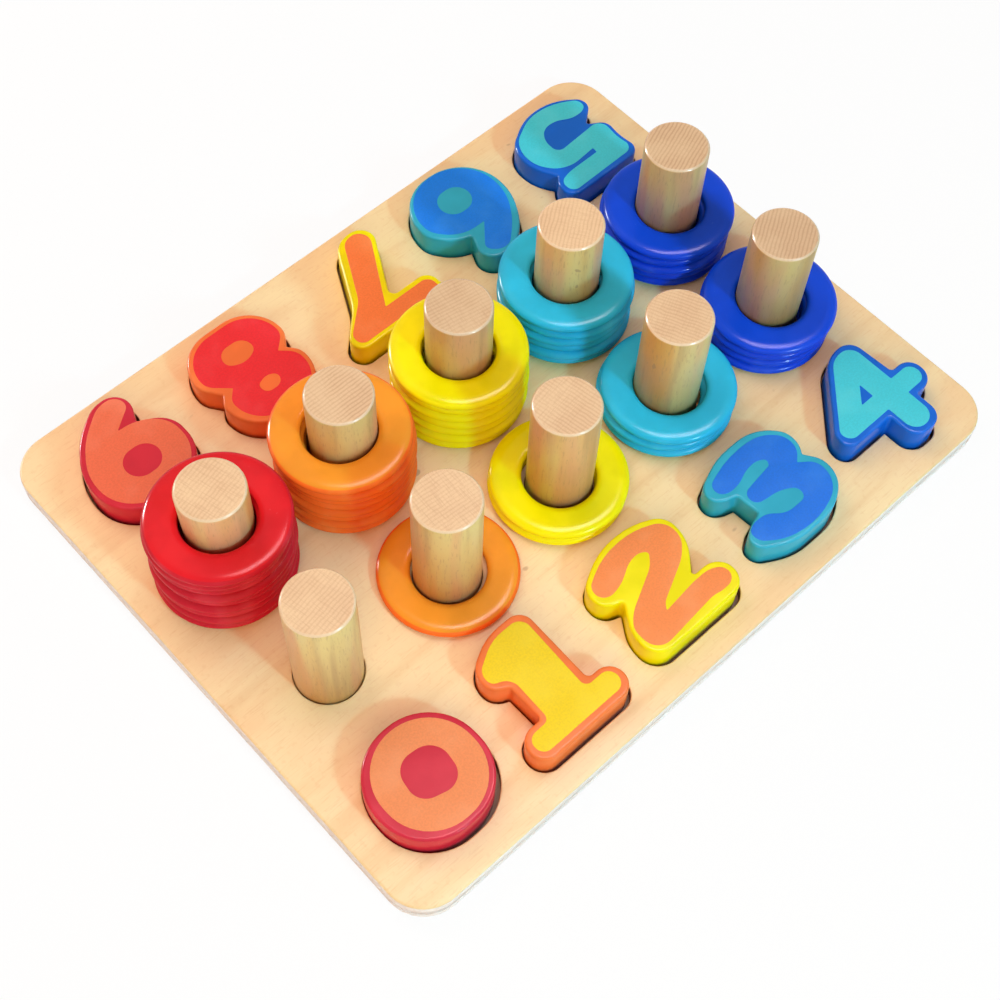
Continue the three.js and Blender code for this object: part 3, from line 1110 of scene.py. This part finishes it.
@dataclass
class Board:
    """The board: a floor layer under a layer with ten pockets and ten peg holes.

    Attributes:
        corner_radius: The rounding of its four corners, seen from above.
        edge: The rounding of its long edges.
        rim: The rounding of the pockets' edges.
        tile_play: The room between a tile and its pocket.
        peg_play: The room between a peg and its hole.
        support: The width of the level strip beside a rounding.
    """

    corner_radius: float = 16 * MM
    edge: float = 1.0 * MM
    rim: float = 0.45 * MM
    tile_play: float = 1.0 * MM
    peg_play: float = 0.3 * MM
    support: float = 0.35 * MM

    def wall(self) -> Placed:
        """Gives the outline of both layers, from the pocket layer's box.

        Returns:
            The outline in its place.
        """
        low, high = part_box("pocket_panel")
        places = [(high.x, low.y), (high.x, high.y), (low.x, high.y), (low.x, low.y)]
        outline = Outline([(x, y, self.corner_radius) for x, y in places])
        return Placed(outline, Vector((0, 0, 0)), 0.0)

    def floor_layer(self, finishes: list[bpy.types.Material]) -> bpy.types.Object:
        """Makes the lower layer, which is the pockets' floor.

        Args:
            finishes: The face, the side and the pockets' floor.

        Returns:
            The layer.
        """
        low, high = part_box("base_panel")
        skin, wall = Skin(), self.wall()
        rows = [wall.row(skin, -self.edge - self.support, low.z)]
        for inward, above in reversed(quarter(self.edge, self.edge, steps=5)):
            rows.append(wall.row(skin, -inward, low.z + above))
        rows.append(wall.row(skin, 0.0, high.z))
        rows.append(wall.row(skin, -self.support, high.z))
        skin.bands(rows, BoardCoat.SIDE)
        skin.cap([rows[0]])
        skin.cap([rows[-1]], BoardCoat.POCKET)
        piece = skin.piece("floor_layer", finishes, Slot.BOARD, "root")
        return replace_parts(piece, "base_panel")

    def pocket_layer(
        self, cuts: list[Placed], finishes: list[bpy.types.Material]
    ) -> bpy.types.Object:
        """Makes the upper layer with its pockets and holes.

        Args:
            cuts: The outlines of the pockets and holes.
            finishes: The face, the side and the pockets' walls.

        Returns:
            The layer.
        """
        low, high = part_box("pocket_panel")
        skin, wall = Skin(), self.wall()
        rows = [wall.row(skin, 0.0, low.z)]
        for inward, below in quarter(self.edge, self.edge, steps=6):
            rows.append(wall.row(skin, -inward, high.z - below))
        rows.append(wall.row(skin, -self.edge - self.support, high.z))
        side_rows = 3
        skin.bands(rows[: side_rows + 1], BoardCoat.SIDE)
        skin.bands(rows[side_rows:], BoardCoat.FACE)
        mouths, feet = [rows[-1]], [rows[0]]
        for cut in cuts:
            ring = cut.row(skin, self.rim + self.support, high.z)
            mouths.append(ring)
            for inward, below in reversed(quarter(self.rim, self.rim, steps=4)):
                lower = cut.row(skin, inward, high.z - below, rim=1.0)
                skin.band(lower, ring, BoardCoat.FACE)
                ring = lower
            foot = cut.row(skin, 0.0, low.z)
            skin.band(foot, ring, BoardCoat.POCKET)
            feet.append(foot)
        skin.cap(mouths)
        skin.cap(feet, BoardCoat.POCKET)
        piece = skin.piece("pocket_layer", finishes, Slot.BOARD, "root")
        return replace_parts(piece, "pocket_panel")


@dataclass
class Peg:
    """A beech peg, glued into the board.

    Attributes:
        word: The number that it stands for.
        chamfer: The bevel round its top.
        edge: The rounding of the bevel's two edges.
        sides: How many facets its round side has.
        light: The display colour of the pale wood.
        warm: The display colour of the warm streaks.
        amber: The display colour of the heartwood bands.
        end: The display colour of the sawn end.
        line: The display colour of the end's growth lines.
    """

    word: str
    chamfer: float = 0.65 * MM
    edge: float = 0.25 * MM
    sides: int = 96
    light: Rgb = (229, 205, 138)
    warm: Rgb = (230, 180, 132)
    amber: Rgb = (221, 166, 88)
    end: Rgb = (236, 200, 156)
    line: Rgb = (204, 156, 116)

    def __post_init__(self) -> None:
        """Reads the peg's place from the frame."""
        self.low, self.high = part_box(f"{self.word}_peg")
        self.centre = (self.low + self.high) / 2
        self.radius = (self.high.x - self.low.x) / 2

    def hole(self) -> Outline:
        """Gives the peg's own outline, for the hole that it stands in."""
        r = self.radius
        return Outline([(r, -r, r), (r, r, r), (-r, r, r), (-r, -r, r)])

    def finishes(self) -> list[bpy.types.Material]:
        """Makes the wood of the peg's side and end, a little different on each peg.

        Returns:
            The materials, by number.
        """
        number = WORDS.index(self.word)
        side_shift, end_shift = 1.7 * number, 2.3 * number
        turn, tone, depth = PEG_WOOD[self.word]
        light, warm, amber, end, line = (
            darker(wood, tone)
            for wood in (self.light, self.warm, self.amber, self.end, self.line)
        )
        side_name, end_name = f"{self.word}_peg_side", f"{self.word}_peg_end"
        side = PegSide(side_name, light, warm, amber, side_shift)
        sawn = PegEnd(end_name, end, line, math.radians(turn), end_shift, depth)
        return [side.material(), sawn.material()]

    def build(self) -> bpy.types.Object:
        """Makes the peg.

        Returns:
            The peg.
        """
        top, r, c, e = self.high.z, self.radius, self.chamfer, self.edge
        profile = [
            (r, self.low.z, 0.0),
            (r, top - c - e, 0.3),
            (r - e * 0.1, top - c - e * 0.3, 0.9),
            (r - e * 0.5, top - c + e * 0.3, 1.0),
            (r - c + e * 0.3, top - e * 0.5, 1.0),
            (r - c - e * 0.3, top - e * 0.1, 0.9),
            (r - c - e, top, 0.3),
            (r - c - 2 * e, top, 0.0),
        ]
        skin = Skin()
        rows = [
            skin.row(circle(self.centre.xy, radius, self.sides), z, rim)
            for radius, z, rim in profile
        ]
        side_rows = 3
        skin.cap([rows[0]])
        skin.bands(rows[: side_rows + 1], PegCoat.SIDE)
        skin.bands(rows[side_rows:], PegCoat.END)
        skin.cap([rows[-1]], PegCoat.END)
        piece = skin.piece(f"{self.word}_dowel", self.finishes(), Slot.PEG, "root")
        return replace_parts(piece, f"{self.word}_peg")


@dataclass
class NumberTile:
    """A number tile with lacquered sides and a printed face.

    Attributes:
        word: The number.
        lacquer: The paint of its sides and rim.
        ink: The ink of its face.
        slack: How far its pocket's middle lies off its own, in millimetres.
        edge: The rounding of its edges.
        film: How far the print stands above the wood. It reaches as far down into it.
        support: The width of the level strip beside a rounding.
    """

    word: str
    lacquer: Lacquer
    ink: Print
    slack: tuple[float, float] = (0.35, -0.3)
    edge: float = 1.0 * MM
    film: float = 0.06 * MM
    support: float = 0.3 * MM

    def __post_init__(self) -> None:
        """Reads the tile's size and place from the frame."""
        self.node = f"{self.word}_digit"
        self.low, self.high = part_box(self.node)
        shares = TILE_OUTLINE_SHARES[self.word]
        bottom, top = Outline(shares).height
        self.size = (self.high.y - self.low.y) / (top - bottom)
        self.outline = Outline(shares, self.size)
        peg_low, peg_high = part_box(f"{self.word}_peg")
        self.turn = math.pi if self.low.y > 0 else 0.0
        x = (peg_low.x + peg_high.x) / 2
        y = self.high.y + bottom * self.size if self.turn else self.low.y - bottom * self.size
        self.origin = Vector((x, y, 0))
        self.pocket = self.origin + Vector((*self.slack, 0)) * MM

    def placed(self, outline: Outline) -> Placed:
        """Puts one of the tile's outlines in its place."""
        return Placed(outline, self.origin, self.turn)

    def body(self, paint: bpy.types.Material) -> bpy.types.Object:
        """Makes the painted wooden tile.

        Args:
            paint: The lacquer's material.

        Returns:
            The tile.
        """
        skin, wall = Skin(), self.placed(self.outline)
        rows = [wall.row(skin, -self.edge - self.support, self.low.z)]
        for inward, above in reversed(quarter(self.edge, self.edge, steps=4)):
            rows.append(wall.row(skin, -inward, self.low.z + above))
        for inward, below in quarter(self.edge, self.edge, steps=8):
            worn = math.sin(math.pi * inward / self.edge)
            rows.append(wall.row(skin, -inward, self.high.z - below, worn))
        rows.append(wall.row(skin, -self.edge - self.support, self.high.z))
        skin.bands(rows)
        skin.cap([rows[0]])
        skin.cap([rows[-1]])
        piece = skin.piece(f"{self.word}_tile", [paint], self.lacquer.slot, self.node)
        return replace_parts(piece, self.node)

    def face(self, ink: bpy.types.Material) -> bpy.types.Object:
        """Makes the printed face, a thin film with its gaps left open.

        Args:
            ink: The print's material.

        Returns:
            The film.
        """
        skin = Skin()
        top, film = self.high.z + self.film, self.film
        soft = film * 1.5
        profile = [
            (0.0, self.high.z - film),
            (0.0, top - film * 0.6),
            (soft * 0.4, top - film * 0.1),
            (soft, top),
        ]
        outer = Outline(PRINT_OUTLINE_SHARES[self.word], self.size)
        gaps = [Outline(gap, self.size) for gap in PRINT_GAP_SHARES.get(self.word, [])]
        mouths, feet = [], []
        shrunk, grown = -1, 1
        for outline, way in [(outer, shrunk), *((gap, grown) for gap in gaps)]:
            wall = self.placed(outline)
            rows = [wall.row(skin, way * inward, z) for inward, z in profile]
            skin.bands(rows)
            feet.append(rows[0])
            mouths.append(rows[-1])
        skin.cap(mouths)
        skin.cap(feet)
        return skin.piece(f"{self.word}_print", [ink], self.ink.slot, self.node)


@dataclass
class Ring:
    """Where one ring lies, and its size.

    Attributes:
        number: Its place in the stack, from 1 at the bottom.
        node: The node that it stands for, alone or with others.
        centre: Its middle.
        bottom: The height of its underside.
        thickness: Its thickness.
        radius: Its outer radius.
        pool: How far in from its outer edge its side takes painted shade.
    """

    number: int
    node: str
    centre: Vector
    bottom: float
    thickness: float
    radius: float
    pool: float


@dataclass
class RingStack:
    """The rings on one peg.

    Attributes:
        word: The number, and so how many rings there are.
        lacquer: Their paint.
        outer_reach: How far the rounding of the outer edge reaches in.
        bore_reach: How far the rounding of the bore's edge reaches out.
        bore_rise: How far that rounding reaches down the bore.
        play: The air between two rings.
        bore_play: The air between the bore and the peg, all round.
        bore_sway: How far the bore may lie off the peg's middle.
        level: The width of the level strip beside a rounding.
        wall: Half the height of the straight strip round the outer edge.
        pool: How far in from the edge a ring's side takes painted shade.
        top_side_shade_reach: How far in from the edge the stack's top ring takes it.
        slip: How far rings that share a node lie off its middle.
        sides: How many facets a ring has round its middle.
    """

    word: str
    lacquer: Lacquer
    outer_reach: float = 4.4 * MM
    bore_reach: float = 2.7 * MM
    bore_rise: float = 1.5 * MM
    play: float = 0.1 * MM
    bore_play: float = 1.45 * MM
    bore_sway: float = 1.3 * MM
    level: float = 0.4 * MM
    wall: float = 0.1 * MM
    pool: float = 4.3 * MM
    top_side_shade_reach: float = 1.2 * MM
    slip: float = 0.4 * MM
    sides: int = 112

    def __post_init__(self) -> None:
        """Reads the stack's nodes from the frame, from the lowest up."""
        begins = f"{self.word}_stack_ring"
        nodes = [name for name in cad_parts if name.startswith(begins)]
        self.nodes = sorted(nodes, key=lambda name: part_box(name)[0].z)
        peg_low, peg_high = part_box(f"{self.word}_peg")
        self.peg_centre = (peg_low + peg_high) / 2
        self.bore = (peg_high.x - peg_low.x) / 2 + self.bore_play

    def rings_in(self, node: str) -> int:
        """Tells how many rings a node stands for, from the numbers at its name's end."""
        last = int(node.rsplit("_", 1)[1])
        return last if "_rings_" in node else 1

    def section(self, radius: float, thickness: float) -> list[tuple[float, float]]:
        """Gives a ring's cut face, from the bore's underside outwards and round.

        Args:
            radius: The ring's outer radius.
            thickness: Its thickness.

        Returns:
            Pairs of radius and height above its underside.
        """
        rise = thickness / 2 - self.wall
        bore_edge = quarter(self.bore_reach, self.bore_rise, steps=5)
        outer_edge = quarter(self.outer_reach, rise, steps=8)
        inner = [(self.bore + inward, down) for inward, down in bore_edge]
        outer = [(radius - inward, down) for inward, down in reversed(outer_edge)]
        flat_in = self.bore + self.bore_reach + self.level
        flat_out = radius - self.outer_reach - self.level
        lower = [*inner, (flat_in, 0.0), (flat_out, 0.0), *outer]
        return lower + [(r, thickness - height) for r, height in reversed(lower)]

    def rings(self) -> list[Ring]:
        """Lays out the stack's rings.

        Returns:
            The rings, from the lowest up.
        """
        made = []
        slip_turn = math.radians(137)
        for node in self.nodes:
            low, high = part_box(node)
            count = self.rings_in(node)
            pitch = (high.z - low.z + self.play) / count
            radius = (high.y - low.y) / 2
            for i in range(count):
                number = len(made) + 1
                way = slip_turn * number
                reach = self.slip if count > 1 else 0
                centre = (low + high) / 2 + Vector((math.cos(way), math.sin(way), 0)) * reach
                bottom = low.z + i * pitch
                made.append(
                    Ring(number, node, centre, bottom, pitch - self.play, radius, self.pool)
                )
        made[-1].pool = self.top_side_shade_reach
        return made

    def ring(self, ring: Ring, paint: bpy.types.Material) -> bpy.types.Object:
        """Makes one ring, whose bore may lie farther off the peg's middle than the ring does.

        Args:
            ring: Where it lies, and its size.
            paint: The lacquer's material.

        Returns:
            The ring.
        """
        node = ring.node
        overshoot, haste, least = 1.4, 1.6, 0.1 * MM
        sway = (ring.centre - self.peg_centre).xy
        pull = min(overshoot, self.bore_sway / max(sway.length, least))
        bore_centre = self.peg_centre.xy + sway * pull
        skin = Skin()
        rows = []
        for r, height in self.section(ring.radius, ring.thickness):
            share = (r - self.bore) / (ring.radius - self.bore)
            middle = bore_centre.lerp(ring.centre.xy, min(1.0, share * haste))
            # The outer side is marked for painted shade, and for the paint's wear.
            rim = 1.0 if r > ring.radius - ring.pool else 0.0
            rows.append(skin.row(circle(middle, r, self.sides), ring.bottom + height, rim))
        skin.bands([*rows, rows[0]])
        name = f"{self.word}_ring_{ring.number}"
        piece = skin.piece(name, [paint], self.lacquer.slot, node)
        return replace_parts(piece, node)

    def build(self, paint: bpy.types.Material) -> list[bpy.types.Object]:
        """Makes all the rings of the stack."""
        return [self.ring(ring, paint) for ring in self.rings()]


@dataclass
class Viewpoint:
    """The photograph's camera.

    Attributes:
        place: Where the lens is.
        azimuth: Which way it looks, from +X towards +Y, in degrees.
        tilt: How far it looks down, in degrees.
        roll: How far it leans, in degrees.
        lens: The focal length, in millimetres.
        sensor: The sensor's width, in millimetres.
        nearest: How near to the lens a surface may be.
    """

    place: Vector = field(default_factory=lambda: Vector((-234.4, -228.7, 551.2)) * MM)
    azimuth: float = 44.59
    tilt: float = 61.02
    roll: float = 3.02
    lens: float = 59.19
    sensor: float = 36
    nearest: float = 0.01

    def build(self) -> bpy.types.Object:
        """Makes the camera and hands it to the scene.

        Returns:
            The camera.
        """
        a, t, r = (math.radians(angle) for angle in (self.azimuth, self.tilt, self.roll))
        ahead = Vector((math.cos(t) * math.cos(a), math.cos(t) * math.sin(a), -math.sin(t)))
        level = Vector((math.sin(a), -math.cos(a), 0))
        above = level.cross(ahead)
        right = level * math.cos(r) + above * math.sin(r)
        upward = above * math.cos(r) - level * math.sin(r)
        data = bpy.data.cameras.new("viewpoint")
        data.lens = self.lens
        data.sensor_width = self.sensor
        data.clip_start = self.nearest
        camera = linked("viewpoint", data)
        turn = Matrix((right, upward, -ahead)).transposed().to_4x4()
        camera.matrix_world = Matrix.Translation(self.place) @ turn
        bpy.context.scene.camera = camera
        return camera


@dataclass
class SoftBox:
    """A lamp behind a piece of white cloth.

    Attributes:
        name: Its name.
        azimuth: The side that it stands on, from +X towards +Y, in degrees.
        height: Its angle above the board, in degrees.
        distance: How far it stands from the board's middle.
        width: The cloth's width.
        depth: The cloth's length in the direction that it leans in.
        power: Its power, in watts.
        shade: Its colour.
        glints: Whether it shows in the gloss.
        lights: Whether it lights the object, or only shows in its gloss.
    """

    name: str
    azimuth: float
    height: float
    distance: float
    width: float
    depth: float
    power: float
    shade: Triple = (1.0, 1.0, 1.0)
    glints: bool = True
    lights: bool = True

    def build(self) -> bpy.types.Object:
        """Makes the lamp, aimed at the board's middle.

        Returns:
            The lamp.
        """
        a, h = math.radians(self.azimuth), math.radians(self.height)
        out = Vector((math.cos(h) * math.cos(a), math.cos(h) * math.sin(a), math.sin(h)))
        data = bpy.data.lights.new(self.name, "AREA")
        data.shape = "RECTANGLE"
        data.size = self.width
        data.size_y = self.depth
        data.energy = self.power
        data.color = self.shade
        lamp = linked(self.name, data)
        lamp.location = out * self.distance
        lamp.rotation_mode = "QUATERNION"
        lamp.rotation_quaternion = out.to_track_quat("Z", "Y")
        lamp.visible_camera = False
        lamp.visible_glossy = self.glints
        lamp.visible_diffuse = self.lights
        return lamp


@dataclass
class Studio:
    """The floor, the lamps and the white surroundings.

    Attributes:
        floor_size: The length of the floor's sides.
        ambient: The strength of the surroundings' light.
        shade: Its colour, warmed by the room's wood and walls.
        paper: How much light the floor sends back.
        lift: How much of the floor's look is plain white, so that it stays pale in shadow.
    """

    floor_size: float = 8.0
    ambient: float = 0.37
    shade: Triple = (1.1, 0.88, 0.77)
    paper: float = 0.94
    lift: float = 0.9

    def seen(self, nodes: Nodes) -> bpy.types.NodeSocket:
        """Tells whether a ray goes to the camera or comes from a mirror or glass.

        Args:
            nodes: The nodes that it is added to.

        Returns:
            1 for such a ray, and 0 for a ray of light on the object.
        """
        path = nodes.node("ShaderNodeLightPath")
        total = path.outputs["Is Camera Ray"]
        for name in ("Is Glossy Ray", "Is Transmission Ray"):
            total = nodes.reckoned("MAXIMUM", total, path.outputs[name])
        return total

    def surroundings(self) -> None:
        """Makes the world: white where it is seen, and softer as a light."""
        world = bpy.data.worlds.new("surroundings")
        bpy.context.scene.world = world
        world.use_nodes = True
        nodes = Nodes(world.node_tree)
        light = (*(value * self.ambient for value in self.shade), 1)
        look = nodes.blend(self.seen(nodes), light, (1, 1, 1, 1))
        nodes.join(look, nodes.tree.nodes["Background"].inputs["Color"])

    def floor(self) -> bpy.types.Object:
        """Makes the plain pale floor, which keeps the object's shadow.

        Returns:
            The floor.
        """
        material = bpy.data.materials.new("floor")
        material.use_nodes = True
        nodes = Nodes(material.node_tree)
        nodes.tree.nodes.remove(nodes.tree.nodes["Principled BSDF"])
        pale = (self.paper, self.paper, self.paper, 1)
        paper = nodes.node("ShaderNodeBsdfDiffuse", {"Color": pale})
        glow = nodes.node("ShaderNodeEmission")
        share = nodes.reckoned("MULTIPLY", self.seen(nodes), self.lift)
        looks = {0: share, 1: paper.outputs[0], 2: glow.outputs[0]}
        mix = nodes.node("ShaderNodeMixShader", looks)
        nodes.join(mix.outputs[0], nodes.tree.nodes["Material Output"].inputs["Surface"])
        half = self.floor_size / 2
        corners = [(-half, -half, 0), (half, -half, 0), (half, half, 0), (-half, half, 0)]
        mesh = bpy.data.meshes.new("floor")
        mesh.from_pydata(corners, [], [(0, 1, 2, 3)])
        mesh.materials.append(material)
        floor = linked("floor", mesh)
        return floor

    def build(self) -> None:
        """Makes everything round the object."""
        self.surroundings()
        self.floor()
        lamps = [
            SoftBox("key_light", -89, 34, 1.9, 0.17, 0.17, 13.5, (0.26, 0.98, 1.28)),
            SoftBox("back_light", 95, 50, 1.0, 0.6, 0.6, 3.0, (1.08, 0.9, 0.8), glints=False),
            SoftBox("front_light", 228, 36, 1.1, 0.7, 0.7, 3.15, (1.3, 0.92, 0.62), glints=False),
            SoftBox("top_light", 60, 82, 1.2, 0.6, 0.6, 2.3, (1.06, 0.9, 0.76), glints=False),
            SoftBox("key_glint", -89, 34, 1.8, 0.1, 0.1, 12, lights=False),
            SoftBox("ceiling_glint", -15, 78, 1.5, 0.46, 0.9, 30, (1.12, 0.9, 0.96), lights=False),
            SoftBox("window_glint", 108, 15, 2.0, 0.3, 0.3, 60, lights=False),
        ]
        for lamp in lamps:
            lamp.build()


@dataclass
class Stacker:
    """The whole toy.

    Attributes:
        board: The board that everything stands in.
    """

    board: Board = field(default_factory=Board)

    def mixed(self) -> dict[Lacquer | Print, bpy.types.Material]:
        """Makes each paint and ink once.

        Returns:
            The material of each.
        """
        used = {finish for finishes in SCHEME.values() for finish in finishes if finish}
        return {finish: finish.material() for finish in sorted(used, key=lambda f: f.name)}

    def build(self) -> None:
        """Builds every piece in order and reports it."""
        mixed = self.mixed()
        tiles = []
        for word, (lacquer, ink, _) in SCHEME.items():
            slack = SLACKS.get(word, NumberTile.slack)
            tiles.append(NumberTile(word, lacquer, ink, slack))
        pegs = [Peg(word) for word in WORDS]
        board = self.board
        cuts = [Placed(tile.outline, tile.pocket, tile.turn, board.tile_play) for tile in tiles]
        cuts += [Placed(peg.hole(), peg.centre, 0.0, board.peg_play) for peg in pegs]
        face, side, wall, floor = (
            finish.material() for finish in (BOARD_FACE, BOARD_SIDE, POCKET_WALL, POCKET_FLOOR)
        )
        self.report(board.floor_layer([face, side, floor]))
        self.report(board.pocket_layer(cuts, [face, side, wall]))
        for peg in pegs:
            self.report(peg.build())
        for tile in tiles:
            self.report(tile.body(mixed[tile.lacquer]))
            self.report(tile.face(mixed[tile.ink]))
        for word, (_, _, lacquer) in SCHEME.items():
            if lacquer:
                for ring in RingStack(word, lacquer).build(mixed[lacquer]):
                    self.report(ring)

    def report(self, piece: bpy.types.Object) -> None:
        """Logs one finished piece."""
        log.info("%s: %d faces", piece.name, len(piece.data.polygons))


def main() -> None:
    """Builds the camera, the studio and the toy."""
    logging.basicConfig(level=logging.INFO, format="%(name)s: %(message)s")
    bpy.context.scene.view_settings.view_transform = "Standard"
    Viewpoint().build()
    Studio().build()
    Stacker().build()


if __name__ == "__main__":
    main()
